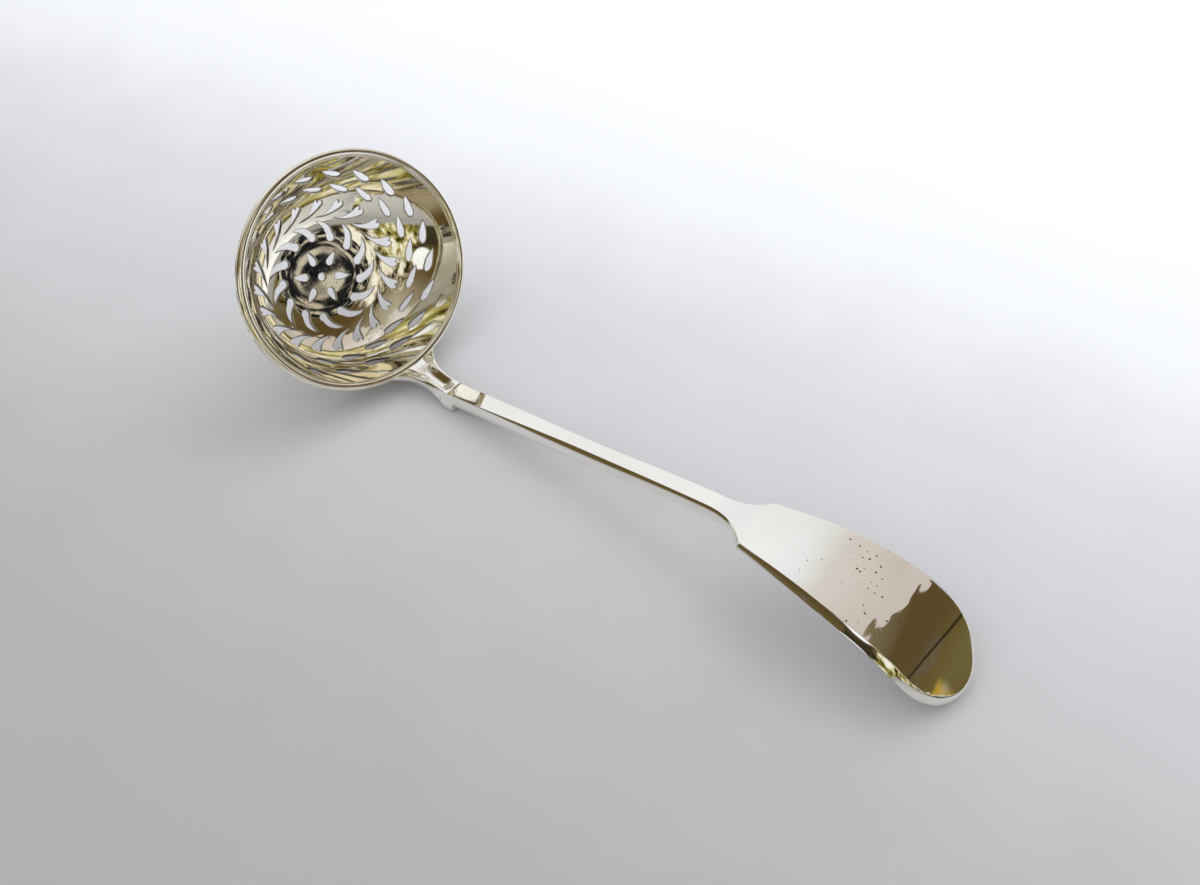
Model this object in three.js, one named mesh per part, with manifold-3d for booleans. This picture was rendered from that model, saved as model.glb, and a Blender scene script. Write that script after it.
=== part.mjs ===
// Sugar sifter spoon: a pierced oval bowl, a rim wire round its lip and a forged fiddle-shaped handle.
// Millimetres, +Z up. The spoon lies on a table at z = 0, on its neck and on the turned-down handle end.
// +X runs from the bowl to the handle end, and the spoon is symmetric about the XZ plane, piercing apart.

import * as THREE from 'three';
import { mergeVertices } from 'three/addons/utils/BufferGeometryUtils.js';
import Module from 'manifold-3d';

const wasm = await Module();
wasm.setup();

// Bowl: a dish raised from sheet, tilted towards the handle
const BOWL_WIDTH = 50;
const BOWL_LENGTH = 43.4;
const BOWL_DEPTH = 12.8;
const BOWL_FULLNESS = 4;
const BOWL_SHEET = 0.8;
const BOWL_TILT = THREE.MathUtils.degToRad(56.8);
const BOWL_LIFT = 2.2;

// Rim wire on the lip, with the solder gap under it
const RIM_WIDTH = 1.7;
const RIM_HEIGHT = 1.5;
const SOLDER_GAP = 0.3;

// Piercing: a centre hole and five rings of leaves, all as radii on the bowl's plan
const EYE_RADIUS = 0.9;
const PETAL_COUNT = 6;
const PETAL_FROM = 3;
const PETAL_TO = 6.6;
const PETAL_WIDTH = 1.7;
const COMMA_COUNT = 13;
const COMMA_HEAD = 9.1;
const COMMA_TIP = 12.5;
const COMMA_WIDTH = 1.9;
const COMMA_SWEEP = THREE.MathUtils.degToRad(21);
const COMMA_TURN = THREE.MathUtils.degToRad(-2);
const FROND_COUNT = 20;
const FROND_HEAD = 16.6;
const FROND_TIP = 13.7;
const FROND_SWEEP = THREE.MathUtils.degToRad(15);
const FROND_TURN = THREE.MathUtils.degToRad(12);
const LEAF_COUNT = 20;
const LEAF_RINGS = [19.2, 21.8];
const LEAF_LENGTH = 4.9;
const LEAF_WIDTH = 1.1;
const LEAF_PITCH = THREE.MathUtils.degToRad(12);
const LEAF_TURN = THREE.MathUtils.degToRad(1);

// Handle: wings on the rim, small shoulders at the neck, a tapered stem and a fiddle-shaped end
const NECK_LENGTH = 11.2;
const NECK_THICKNESS = 3.5;
const NECK_WIDTH = 5;
const NECK_SHOULDER = 0.75;
const WING_SPAN = 15;
const WING_THICKNESS = 1.8;
const STEM_LENGTH = 71;
const STEM_MIDDLE_HEIGHT = 8.1;
const STEM_THICKNESS_AT_NECK = 2.9;
const STEM_THICKNESS_AT_END = 2.3;
const STEM_WIDTH_AT_NECK = 4.4;
const STEM_WIDTH_AT_END = 3.8;
const SHOULDER_HEIGHT = 13;
const SHOULDER_WIDTH = 12.2;
const SHOULDER_THICKNESS = 1.4;
const FLARE_LENGTH = 9.5;
const CREST_RUN = 15.5;
const CREST_HEIGHT = 13.5;
const END_RUN = 24.5;
const END_WIDTH = 20;
const END_THICKNESS = 2.1;
const END_TURN_RUN = 9;
const END_TURN_DROP = 9.6;
const END_ROUNDING = 13;
const HANDLE_BEVEL = 0.6;
const REST_FLAT = 0.35;

// Fineness of the facets
const BOWL_SIDES = 44;
const BOWL_RINGS = 8;
const WIRE_SIDES = 10;
const CURL_STEPS = 2;
const LEAF_STEPS = 3;
const STEM_STEPS = 8;
const FLARE_STEPS = 6;
const END_STEPS = 9;
const ROUNDING_STEPS = 7;
const CUTTER_REACH = 1;

const silver = new THREE.MeshStandardMaterial({ color: 0xd9d6cc, roughness: 0.16, metalness: 1 });
const wornSilver = new THREE.MeshStandardMaterial({ color: 0xd2cdbd, roughness: 0.2, metalness: 1 });

// Solids and meshes

function toSolid(geometry) {
  const bare = geometry.clone();
  bare.deleteAttribute('normal');
  bare.deleteAttribute('uv');
  const merged = mergeVertices(bare, 1e-5);
  const vertProperties = new Float32Array(merged.attributes.position.array);
  const triVerts = new Uint32Array(merged.index.array);
  return new wasm.Manifold(new wasm.Mesh({ numProp: 3, vertProperties, triVerts }));
}

function toGeometry(solid) {
  const mesh = solid.getMesh();
  const geometry = new THREE.BufferGeometry();
  geometry.setAttribute('position', new THREE.BufferAttribute(mesh.vertProperties, 3));
  geometry.setIndex(new THREE.BufferAttribute(mesh.triVerts, 1));
  geometry.computeVertexNormals();
  return geometry;
}

function namedMesh(name, geometry, material) {
  const mesh = new THREE.Mesh(geometry, material);
  mesh.name = name;
  return mesh;
}

// Closes a row of equal rings of points into one body, with a flat cap on the first and last ring
function loft(rings) {
  const count = rings[0].length;
  const positions = rings.flat().flatMap((point) => point.toArray());
  const faces = [];
  for (let ring = 0; ring + 1 < rings.length; ring += 1) {
    for (let side = 0; side < count; side += 1) {
      const next = (side + 1) % count;
      const near = ring * count;
      const far = near + count;
      faces.push(near + side, near + next, far + next);
      faces.push(near + side, far + next, far + side);
    }
  }
  const lastRing = (rings.length - 1) * count;
  for (let side = 1; side + 1 < count; side += 1) {
    faces.push(0, side + 1, side);
    faces.push(lastRing, lastRing + side, lastRing + side + 1);
  }
  const geometry = new THREE.BufferGeometry();
  geometry.setAttribute('position', new THREE.Float32BufferAttribute(positions, 3));
  geometry.setIndex(faces);
  return geometry;
}

// Bowl: local z = 0 is the lip plane, +x points to the handle and the mouth opens to +z

const BOWL_RADIUS = BOWL_WIDTH / 2;
const OVAL = BOWL_LENGTH / BOWL_WIDTH;

// A point of the dish's plan profile at a plan radius, moved off the inner face by an offset to the outside
function dishProfile(radius, offset) {
  const share = radius / BOWL_RADIUS;
  const depth = BOWL_DEPTH * (1 - share ** BOWL_FULLNESS);
  const slope = BOWL_DEPTH * BOWL_FULLNESS * share ** (BOWL_FULLNESS - 1) / BOWL_RADIUS;
  const length = Math.hypot(slope, 1);
  return new THREE.Vector2(radius + offset * slope / length, -depth - offset / length);
}

function lathe(profile) {
  const geometry = new THREE.LatheGeometry(profile, BOWL_SIDES);
  geometry.rotateX(Math.PI / 2);
  geometry.scale(OVAL, 1, 1);
  return geometry;
}

function dishWall(offset) {
  const wall = [];
  for (let ring = 0; ring <= BOWL_RINGS; ring += 1) {
    const point = dishProfile(BOWL_RADIUS * Math.sin(ring / BOWL_RINGS * Math.PI / 2), offset);
    point.x = ring === 0 ? 0 : point.x;
    wall.push(point);
  }
  return wall;
}

function bowlShell() {
  const outside = dishWall(BOWL_SHEET);
  const inside = dishWall(0);
  return lathe([...outside, ...inside.reverse()]);
}

// Everything inside the outer faces of the bowl and the rim wire, grown by the solder gap
function bowlEnvelope() {
  const outside = dishWall(BOWL_SHEET + SOLDER_GAP);
  const top = RIM_HEIGHT + 2 * SOLDER_GAP;
  const side = BOWL_RADIUS + RIM_WIDTH * 0.7 + SOLDER_GAP;
  const corner = RIM_WIDTH * 0.25;
  const profile = [
    ...outside,
    new THREE.Vector2(side, SOLDER_GAP + corner),
    new THREE.Vector2(side, top - corner),
    new THREE.Vector2(side - corner, top),
    new THREE.Vector2(0, top),
  ];
  return lathe(profile);
}

function rimWire() {
  const centre = new THREE.Vector2(BOWL_RADIUS + RIM_WIDTH * 0.2, SOLDER_GAP + RIM_HEIGHT / 2);
  const profile = [];
  for (let side = 0; side <= WIRE_SIDES; side += 1) {
    const angle = (side % WIRE_SIDES) / WIRE_SIDES * 2 * Math.PI;
    const around = new THREE.Vector2(RIM_WIDTH / 2 * Math.cos(angle), RIM_HEIGHT / 2 * Math.sin(angle));
    profile.push(around.add(centre));
  }
  return lathe(profile);
}

// Leaf outlines on the plan, pointing along +x, drawn counter-clockwise

function polar(radius, angle) {
  return new THREE.Vector2(radius * Math.cos(angle), radius * Math.sin(angle));
}

function eyeOutline() {
  const shape = new THREE.Shape();
  shape.absellipse(0, 0, EYE_RADIUS, EYE_RADIUS, 0, 2 * Math.PI, false, 0);
  return shape;
}

function petalOutline() {
  const half = PETAL_WIDTH / 2;
  const head = PETAL_FROM + half;
  const waist = head + (PETAL_TO - head) * 0.4;
  const shape = new THREE.Shape();
  shape.moveTo(PETAL_TO, 0);
  shape.quadraticCurveTo(waist, half, head, half);
  shape.absarc(head, 0, half, Math.PI / 2, Math.PI * 1.5, false);
  shape.quadraticCurveTo(waist, -half, PETAL_TO, 0);
  return shape;
}

function commaOutline() {
  const half = COMMA_WIDTH / 2;
  const tip = polar(COMMA_TIP, COMMA_SWEEP);
  const back = polar(COMMA_TIP, COMMA_SWEEP * 0.25);
  const belly = polar((COMMA_HEAD + COMMA_TIP) / 2, COMMA_SWEEP * 0.4);
  const bellyAngle = Math.PI * 0.6;
  const backAngle = Math.PI * 1.9;
  const shape = new THREE.Shape();
  shape.moveTo(tip.x, tip.y);
  shape.quadraticCurveTo(
    belly.x, belly.y, COMMA_HEAD + half * Math.cos(bellyAngle), half * Math.sin(bellyAngle));
  shape.absarc(COMMA_HEAD, 0, half, bellyAngle, backAngle, false);
  shape.quadraticCurveTo(back.x, back.y, tip.x, tip.y);
  return shape;
}

// A hooked leaf with a two-lobed head on its outer side
function frondOutline() {
  const tip = polar(FROND_TIP, FROND_SWEEP);
  const back = polar(FROND_TIP * 1.01, FROND_SWEEP * 0.2);
  const heel = polar(FROND_HEAD * 0.96, FROND_SWEEP * -0.2);
  const firstLobe = polar(FROND_HEAD * 1.05, FROND_SWEEP * -0.12);
  const notch = polar(FROND_HEAD * 0.985, FROND_SWEEP * 0.1);
  const secondLobe = polar(FROND_HEAD * 1.07, FROND_SWEEP * 0.22);
  const throat = polar(FROND_HEAD * 0.97, FROND_SWEEP * 0.34);
  const belly = polar(FROND_HEAD * 0.89, FROND_SWEEP * 0.5);
  const shape = new THREE.Shape();
  shape.moveTo(tip.x, tip.y);
  shape.quadraticCurveTo(back.x, back.y, heel.x, heel.y);
  shape.quadraticCurveTo(firstLobe.x, firstLobe.y, notch.x, notch.y);
  shape.quadraticCurveTo(secondLobe.x, secondLobe.y, throat.x, throat.y);
  shape.quadraticCurveTo(belly.x, belly.y, tip.x, tip.y);
  return shape;
}

function leafOutline(radius) {
  const along = polar(LEAF_LENGTH / 2, Math.PI / 2 - LEAF_PITCH);
  const across = polar(LEAF_WIDTH, -LEAF_PITCH);
  const shape = new THREE.Shape();
  shape.moveTo(radius - along.x, -along.y);
  shape.quadraticCurveTo(radius + across.x, across.y, radius + along.x, along.y);
  shape.quadraticCurveTo(radius - across.x, -across.y, radius - along.x, -along.y);
  return shape;
}

// Repeats an outline round the bowl as lists of plan points
function ringOfOutlines(shape, steps, count, turn) {
  const points = shape.extractPoints(steps).shape;
  const copies = [];
  for (let copy = 0; copy < count; copy += 1) {
    const angle = turn + copy / count * 2 * Math.PI;
    copies.push(points.map((point) => point.clone().rotateAround(new THREE.Vector2(), angle)));
  }
  return copies;
}

function allOutlines() {
  const rings = [
    ringOfOutlines(eyeOutline(), LEAF_STEPS, 1, 0),
    ringOfOutlines(petalOutline(), CURL_STEPS, PETAL_COUNT, 0),
    ringOfOutlines(commaOutline(), CURL_STEPS, COMMA_COUNT, COMMA_TURN),
    ringOfOutlines(frondOutline(), CURL_STEPS, FROND_COUNT, FROND_TURN),
    ...LEAF_RINGS.map((radius) => (
      ringOfOutlines(leafOutline(radius), LEAF_STEPS, LEAF_COUNT, LEAF_TURN)
    )),
  ];
  return rings.flat();
}

// A cutter through the sheet, square to it all round the outline
function leafCutter(outline) {
  const counterClockwise = THREE.ShapeUtils.isClockWise(outline) ? [...outline].reverse() : outline;
  const count = counterClockwise.length;
  const positions = [];
  for (const offset of [BOWL_SHEET + CUTTER_REACH, -CUTTER_REACH]) {
    for (const point of counterClockwise) {
      const profile = dishProfile(point.length(), offset);
      const angle = point.angle();
      positions.push(profile.x * Math.cos(angle) * OVAL, profile.x * Math.sin(angle), profile.y);
    }
  }
  const faces = [];
  for (const [a, b, c] of THREE.ShapeUtils.triangulateShape(counterClockwise, [])) {
    faces.push(a, c, b);
    faces.push(a + count, b + count, c + count);
  }
  for (let side = 0; side < count; side += 1) {
    const next = (side + 1) % count;
    faces.push(side, next, next + count);
    faces.push(side, next + count, side + count);
  }
  const geometry = new THREE.BufferGeometry();
  geometry.setAttribute('position', new THREE.Float32BufferAttribute(positions, 3));
  geometry.setIndex(faces);
  return toSolid(geometry);
}

function piercedBowl() {
  let sheet = toSolid(bowlShell());
  for (const outline of allOutlines()) {
    sheet = sheet.subtract(leafCutter(outline));
  }
  return toGeometry(sheet);
}

// The bowl and its rim are tilted together, just clear of the table

const bowlGroup = new THREE.Group();
bowlGroup.add(namedMesh('bowl', piercedBowl(), silver));
bowlGroup.add(namedMesh('rim_wire', rimWire(), silver));
bowlGroup.rotation.y = BOWL_TILT;
bowlGroup.position.z = BOWL_LIFT - new THREE.Box3().setFromObject(bowlGroup, true).min.z;
bowlGroup.updateMatrixWorld(true);

// Handle: a row of eight-sided sections along a curve in the XZ plane

const rimAtHandle = new THREE.Vector3(BOWL_LENGTH / 2, 0, SOLDER_GAP + RIM_HEIGHT / 2);
const root = rimAtHandle.applyMatrix4(bowlGroup.matrixWorld);
const neckX = root.x + NECK_LENGTH;
const shoulderX = neckX + STEM_LENGTH;
const tipX = shoulderX + CREST_RUN + END_RUN;
const tipSlope = Math.atan2(END_TURN_DROP, END_TURN_RUN);
const tipZ = END_THICKNESS / 2 * Math.cos(tipSlope) - REST_FLAT;
const neckZ = NECK_THICKNESS / 2 - REST_FLAT;

// Whole numbers of the curve's own parameter are these points
const ROOT = 0;
const NECK = 1;
const SHOULDER = 3;
const TIP = 6;
const centreLine = new THREE.CatmullRomCurve3([
  root,
  new THREE.Vector3(neckX, 0, neckZ),
  new THREE.Vector3(neckX + STEM_LENGTH / 2, 0, STEM_MIDDLE_HEIGHT),
  new THREE.Vector3(shoulderX, 0, SHOULDER_HEIGHT),
  new THREE.Vector3(shoulderX + CREST_RUN, 0, CREST_HEIGHT),
  new THREE.Vector3(tipX - END_TURN_RUN, 0, tipZ + END_TURN_DROP),
  new THREE.Vector3(tipX, 0, tipZ),
]);

// An eight-sided section across the handle, bevelled on its four edges
function handleSection(place, width, thickness) {
  const point = centreLine.getPoint(place / TIP);
  const forward = centreLine.getTangent(place / TIP);
  const up = new THREE.Vector3(-forward.z, 0, forward.x);
  const side = new THREE.Vector3(0, 1, 0);
  const bevel = Math.min(HANDLE_BEVEL, width / 4, thickness / 3);
  const half = width / 2;
  const high = thickness / 2;
  const corners = [
    [half - bevel, high], [bevel - half, high], [-half, high - bevel], [-half, bevel - high],
    [bevel - half, -high], [half - bevel, -high], [half, bevel - high], [half, high - bevel],
  ];
  return corners.map(([across, above]) => (
    point.clone().addScaledVector(side, across).addScaledVector(up, above)
  ));
}

function mix(from, to, share) {
  return from + (to - from) * share;
}

// Wings: wide on the rim, closing in a hollow curve to the neck, which ends in two small shoulders
function wingSections() {
  const sections = [];
  const shoulderStart = 0.9;
  for (let step = 0; step <= STEM_STEPS; step += 1) {
    const share = step / STEM_STEPS;
    const width = NECK_WIDTH + (WING_SPAN - NECK_WIDTH) * (1 - share) ** 4;
    const thickness = mix(WING_THICKNESS, NECK_THICKNESS, share);
    sections.push(handleSection(mix(ROOT, shoulderStart, share), width, thickness));
  }
  const shoulderWidth = STEM_WIDTH_AT_NECK + 2 * NECK_SHOULDER;
  sections.push(handleSection(NECK, shoulderWidth, NECK_THICKNESS));
  return sections;
}

// Stem: an even taper, then a hollow flare out to the shoulders of the fiddle
function stemSections() {
  const sections = [];
  const stepAfterNeck = 0.01;
  const start = NECK + stepAfterNeck;
  const flareStart = SHOULDER - FLARE_LENGTH / (STEM_LENGTH / 2);
  for (let step = 0; step <= STEM_STEPS; step += 1) {
    const share = step / STEM_STEPS;
    const width = mix(STEM_WIDTH_AT_NECK, STEM_WIDTH_AT_END, share);
    const thickness = mix(STEM_THICKNESS_AT_NECK, STEM_THICKNESS_AT_END, share);
    sections.push(handleSection(mix(start, flareStart, share), width, thickness));
  }
  for (let step = 1; step <= FLARE_STEPS; step += 1) {
    const share = step / FLARE_STEPS;
    const width = mix(STEM_WIDTH_AT_END, SHOULDER_WIDTH, share ** 3);
    const thickness = mix(STEM_THICKNESS_AT_END, SHOULDER_THICKNESS, share);
    sections.push(handleSection(mix(flareStart, SHOULDER, share), width, thickness));
  }
  return sections;
}

// Fiddle end: widens steadily, then closes in a round end that is turned down
function endSections() {
  const sections = [];
  const lastSpan = new THREE.Vector2(END_TURN_RUN, END_TURN_DROP).length();
  const roundStart = TIP - END_ROUNDING / lastSpan;
  for (let step = 1; step <= END_STEPS; step += 1) {
    const share = step / END_STEPS;
    const width = mix(SHOULDER_WIDTH, END_WIDTH, Math.sin(share * Math.PI / 2));
    const thickness = mix(SHOULDER_THICKNESS, END_THICKNESS, share);
    sections.push(handleSection(mix(SHOULDER, roundStart, share), width, thickness));
  }
  const lastAngle = 0.96 * Math.PI / 2;
  for (let step = 1; step <= ROUNDING_STEPS; step += 1) {
    const angle = step / ROUNDING_STEPS * lastAngle;
    const place = mix(roundStart, TIP, Math.sin(angle) / Math.sin(lastAngle));
    sections.push(handleSection(place, END_WIDTH * Math.cos(angle), END_THICKNESS));
  }
  return sections;
}

// Room under the table, which trims the neck and the handle end to the flats that they rest on
function underTable() {
  const depth = 4 * END_THICKNESS;
  const geometry = new THREE.BoxGeometry(2 * tipX, 2 * END_WIDTH, depth);
  geometry.translate(tipX, 0, -depth / 2);
  return toSolid(geometry);
}

function handleBody() {
  const blank = toSolid(loft([...wingSections(), ...stemSections(), ...endSections()]));
  const envelope = toSolid(bowlEnvelope().applyMatrix4(bowlGroup.matrixWorld));
  return toGeometry(blank.subtract(envelope).subtract(underTable()));
}

// The finished spoon, centred over the table

const spoon = new THREE.Group();
spoon.add(bowlGroup);
spoon.add(namedMesh('handle', handleBody(), wornSilver));
const box = new THREE.Box3().setFromObject(spoon, true);
spoon.position.x = -(box.min.x + box.max.x) / 2;

export default spoon;
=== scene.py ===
import math
import random

import bpy
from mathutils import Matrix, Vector
from mathutils.geometry import delaunay_2d_cdt


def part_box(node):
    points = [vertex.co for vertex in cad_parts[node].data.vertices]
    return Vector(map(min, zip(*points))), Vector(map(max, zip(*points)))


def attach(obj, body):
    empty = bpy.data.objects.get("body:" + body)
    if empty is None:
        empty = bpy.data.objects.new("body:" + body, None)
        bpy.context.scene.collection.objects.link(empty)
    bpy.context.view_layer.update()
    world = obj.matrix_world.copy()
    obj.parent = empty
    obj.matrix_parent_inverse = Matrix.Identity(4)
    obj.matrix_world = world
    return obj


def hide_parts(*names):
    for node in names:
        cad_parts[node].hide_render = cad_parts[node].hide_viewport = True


# A sugar sifter spoon of polished old silver, built in metres in the frame of its CAD model.
# The sizes below are in millimetres, like the drawing of the part, and MM brings them to metres.

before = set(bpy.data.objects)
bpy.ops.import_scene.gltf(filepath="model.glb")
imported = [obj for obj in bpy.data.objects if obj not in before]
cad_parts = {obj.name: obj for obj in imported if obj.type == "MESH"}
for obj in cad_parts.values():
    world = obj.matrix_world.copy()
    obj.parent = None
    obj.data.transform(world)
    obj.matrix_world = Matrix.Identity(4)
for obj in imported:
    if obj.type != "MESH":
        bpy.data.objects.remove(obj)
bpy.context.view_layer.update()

MM = 0.001

# Sizes of the bowl
BOWL_RADIUS = 25.0
BOWL_OVAL = 0.868
BOWL_DEPTH = 12.8
BOWL_FULLNESS = 4
BOWL_SHEET = 0.8
BOWL_TILT = math.radians(56.8)
SHEET_LIP = 25.22
LIP_CORNERS = 180
SHEET_RINGS = 30
SHEET_SPACING = 0.9
RIM_RADIUS = 25.34
RIM_HALF_WIDTH = 0.85
RIM_HALF_HEIGHT = 0.75
RIM_RISE = 1.05
RIM_CORNERS = 200
BEAD_INSET = 0.78
BEAD_RISE = 0.12
BEAD_RADIUS = 0.27

# Sizes of the pierced pattern. A petal is drawn by run and half width, the other holes by
# radius and degrees, and the turn of the first hole of a ring is in degrees.
EYE_RADIUS = 0.9
EYE_CORNERS = 18
PETAL_COUNT = 6
PETAL_HEAD = 3.85
PETAL_HEAD_RADIUS = 0.85
PETAL_BELLY = (5.4, 0.75)
PETAL_TIP = 6.6
COMMA_COUNT = 13
COMMA_FIRST = -2.0
COMMA_HEAD = 9.1
COMMA_HEAD_RADIUS = 0.96
COMMA_BACK = (12.5, 5.25)
COMMA_TIP = (12.5, 21)
COMMA_BELLY = (11.1, 9.2)
FROND_COUNT = 20
FROND_FIRST = 12.0
FROND_TAIL = (13.35, 19.5)
FROND_BACK = ((13.6, 4.5), (15.94, -3))
FROND_HOOK = ((17.43, -1.8), (16.35, 1.5))
FROND_HEAD = ((17.76, 3.3), (16.1, 5.1))
FROND_BELLY = (13.95, 7.0)
LEAF_COUNT = 20
LEAF_RINGS = (19.2, 21.8)
LEAF_FIRSTS = (1.0, 10.0)
LEAF_LEAN = math.radians(78)
LEAF_HALF_LENGTH = 2.6
LEAF_HALF_WIDTH = 0.58
SAW_SEED = 11
SAW_SLIP = 0.5
SAW_SHAKE = 0.035
EDGE_WIDTH = 0.17
EDGE_DROP = 0.13
EDGE_ROUNDING = 0.9
HOLE_REACH = 4
HOLE_CLEARANCE = 0.42

# Sizes of the handle. A place on its centre line is a number: 0 at the rim, 1 at the neck,
# 3 at the shoulder and 6 at the tip, one step for each point of the line.
HANDLE_RUNS = (0.0, 11.2, 46.7, 82.2, 97.7, 113.6, 123.4)
HANDLE_HEIGHTS = (2.05, 7.95, 13.0, 13.45, 9.5, 1.25)
NECK_POINT = 1
SHOULDER = 3.0
TIP = 6.0
STEM_RISE = math.radians(9.5)
STEM_LEAN = 0.03

# The neck, with its wings, its scoop and the foot that steps back to the stem
NECK_WIDTH = 5.0
NECK_THICKNESS = 4.4
NECK_END = 1.05
NECK_FADE = 0.9
NECK_STEP = (-0.003, 0.0, 0.002, 0.01)
NECK_EDGE = (0.3, 0.6)
WING_SPAN = 15.0
WING_THICKNESS = 1.8
WING_FADE = 0.3
ROOT_RISE = 0.1
FOOT_START = 0.45
FOOT_LENGTH = 0.6
SPUR_REACH = 0.5
SPUR_ROUNDING = 0.9
HOLLOW_DEPTH = 1.1
HOLLOW_OPENING = 0.35
HOLLOW_CLOSES = 0.76
HOLLOW_CLOSING = 0.22

# The stem, with two values from its start to its flare
STEM_WIDTHS = (4.7, 4.7)
STEM_TOPS = (1.5, 1.25)
STEM_BOTTOMS = (1.6, 1.6)
STEEP_BREADTHS = (0.37, 0.27)
FLANK_STEEPNESS = 3.5
FLANK_BEVEL = 1.2
FLANK_BREADTHS = (0.42, 0.95, 0.68)
FLANK_WIDEST = 0.55
FLANK_SOFTNESS = 0.12

# The flat end. A bevel is a breadth and a drop, and the flare and the rounding of the tip
# are shares of a step of the line.
FLARE_LENGTH = 9.5 / 35.5
FLARE_START = SHOULDER - FLARE_LENGTH
SHOULDER_WIDTH = 12.2
SHOULDER_THICKNESS = 1.4
SHOULDER_BEVEL = (0.75, 0.8)
END_WIDTH = 20.0
END_THICKNESS = 2.1
END_BEVEL = (1.2, 1.7)
END_BEVEL_FADE = 2.2
END_CROWN = 0.32
END_ROUNDNESS = 2.15
ROUND_LENGTH = 13 / 13.16
ROUND_START = TIP - ROUND_LENGTH
TIP_FADE_START = 4.95
BEVEL_ROWS = (0.03, 0.12, 0.25, 0.4, 0.55, 0.7, 0.84, 0.94, 0.98, 1.02, 1.08, 1.16)
BEVEL_CURVE = 2.4
BEVEL_CRISP = 0.4
END_CRISP = 0.85
TIP_CRISP = 0.1

# How many rows of points go round half a section, and how many sections along the line
UNDER_ROWS = 6
ROUND_ROWS = 6
SIDE_ROWS = 3
TOP_ROWS = 12
NECK_STATIONS = 54
STEM_STATIONS = 60
FLARE_STATIONS = 30
END_STATIONS = 70
TIP_STATIONS = 90

# Looks of the silver. Scratches are given as stretch and turn, and lengths are in metres.
WARM_SILVER = (0.96, 0.93, 0.82, 1)
WHITE_SILVER = (0.95, 0.935, 0.89, 1)
TARNISH = (0.62, 0.52, 0.33, 1)
# Painted shade: the points of the saw cuts, and so the edges and walls of the holes, are darkened
# towards this colour.
SAW_CUT_SHADE_COLOR = (0.06, 0.05, 0.025, 1)
SAW_CUT_SHADE_DARKNESS = 0.8
SAW_CUT_ROUGHNESS = 0.3
PIT_COLOR = (0.22, 0.18, 0.12, 1)
PIT_ROUGHNESS = 0.4
PIT_MIDDLE = (0.056, 0.001, 0.013)
PIT_SPREAD = 0.011
PIT_SCALE = 640
PIT_SIZE = 0.15
PIT_CHANCE = 1.1
CLOUD_SCALE = 90
HAZE_SCALE = 420
HAZE_ROUGHNESS = 0.025
WAVE_SCALE = 95
WAVE_HEIGHT = 0.7
LONG_SCRATCHES = ((60, 2600, 2600), 0.12)
CROSS_SCRATCHES = ((2300, 90, 2300), 0.5)
SCRATCH_ROUGHNESS = 0.05
SCRATCH_DEPTH = 0.02
RELIEF_HEIGHT = 0.0002

# Where the bowl sits: the rim wire of the frame gives the middle of the lip.
rim_low, rim_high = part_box("rim_wire")
RIM_MIDDLE = (rim_low + rim_high) / 2 / MM
OUT_OF_MOUTH = Vector((math.sin(BOWL_TILT), 0, math.cos(BOWL_TILT)))
TO_HANDLE = Vector((math.cos(BOWL_TILT), 0, -math.sin(BOWL_TILT)))
ACROSS = Vector((0, 1, 0))
LIP_MIDDLE = RIM_MIDDLE - RIM_RISE * OUT_OF_MOUTH


def in_spoon(along, across, up):
    """A place of the bowl's own frame, in millimetres, as a place of the spoon."""
    return LIP_MIDDLE + along * TO_HANDLE + across * ACROSS + up * OUT_OF_MOUTH


def direction_in_spoon(along, across, up):
    return along * TO_HANDLE + across * ACROSS + up * OUT_OF_MOUTH


def make_piece(name, points, faces, material):
    """A finished piece from its points in millimetres, riding on the spoon."""
    mesh = bpy.data.meshes.new(name)
    mesh.from_pydata([tuple(p * MM) for p in points], [], faces)
    mesh.update()
    piece = bpy.data.objects.new(name, mesh)
    bpy.context.collection.objects.link(piece)
    return dress_piece(piece, material)


def dress_piece(piece, material):
    piece.data.materials.clear()
    piece.data.materials.append(material)
    piece.data.shade_smooth()
    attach(piece, "root")
    return piece


# Materials


def new_group(name, inputs, outputs):
    group = bpy.data.node_groups.new(name, "ShaderNodeTree")
    for label, kind, value in inputs:
        socket = group.interface.new_socket(label, in_out="INPUT", socket_type=kind)
        if value is not None:
            socket.default_value = value
    for label, kind in outputs:
        group.interface.new_socket(label, in_out="OUTPUT", socket_type=kind)
    return group


def add_node(tree, kind, **settings):
    node = tree.nodes.new(kind)
    for name, value in settings.items():
        setattr(node, name, value)
    return node


def math_node(tree, operation, first, second=None, clamp=False):
    node = add_node(tree, "ShaderNodeMath", operation=operation, use_clamp=clamp)
    for index, value in enumerate((first, second)):
        if value is None:
            continue
        if isinstance(value, (int, float)):
            node.inputs[index].default_value = value
        else:
            tree.links.new(value, node.inputs[index])
    return node.outputs[0]


def multiply(tree, *factors):
    product = factors[0]
    for factor in factors[1:]:
        product = math_node(tree, "MULTIPLY", product, factor)
    return product


def mix_colors(tree, factor, first, second):
    node = add_node(tree, "ShaderNodeMix", data_type="RGBA", blend_type="MIX")
    for index, value in ((0, factor), (6, first), (7, second)):
        if isinstance(value, (int, float, tuple)):
            node.inputs[index].default_value = value
        else:
            tree.links.new(value, node.inputs[index])
    return node.outputs[2]


def map_value(tree, value, low, high, start=0.0, end=1.0):
    node = add_node(tree, "ShaderNodeMapRange", interpolation_type="SMOOTHSTEP")
    tree.links.new(value, node.inputs["Value"])
    node.inputs["From Min"].default_value = low
    node.inputs["From Max"].default_value = high
    node.inputs["To Min"].default_value = start
    node.inputs["To Max"].default_value = end
    return node.outputs[0]


def noise_node(tree, vector, scale, detail=3.0, roughness=0.5):
    node = add_node(tree, "ShaderNodeTexNoise")
    tree.links.new(vector, node.inputs["Vector"])
    node.inputs["Scale"].default_value = scale
    node.inputs["Detail"].default_value = detail
    node.inputs["Roughness"].default_value = roughness
    return node.outputs["Fac"]


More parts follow.
